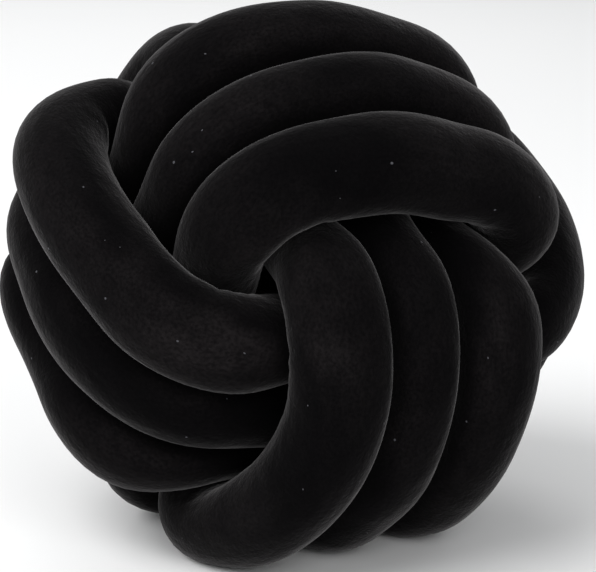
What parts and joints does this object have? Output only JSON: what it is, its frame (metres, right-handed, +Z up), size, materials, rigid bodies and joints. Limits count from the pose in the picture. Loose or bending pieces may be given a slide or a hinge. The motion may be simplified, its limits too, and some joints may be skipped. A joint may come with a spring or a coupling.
{
  "type": "knot pillow",
  "caption": "Ball-shaped cushion tied from a long stuffed velvet tube in a monkey's fist knot, its bands of turns passing over and under each other.",
  "frame": {"origin": "on the surface that the pillow rests on, under the middle of its box", "axes": "+Z up from the resting surface; the swirl where three bands meet faces -Y, +X is to its right"},
  "size_m": [0.3252, 0.3214, 0.2936],
  "materials": {
    "velvet": "black plush velvet, matt, with a soft sheen at grazing angles"
  },
  "bodies": {
    "root": {"knotted_tube": "velvet"}
  },
  "joints": []
}
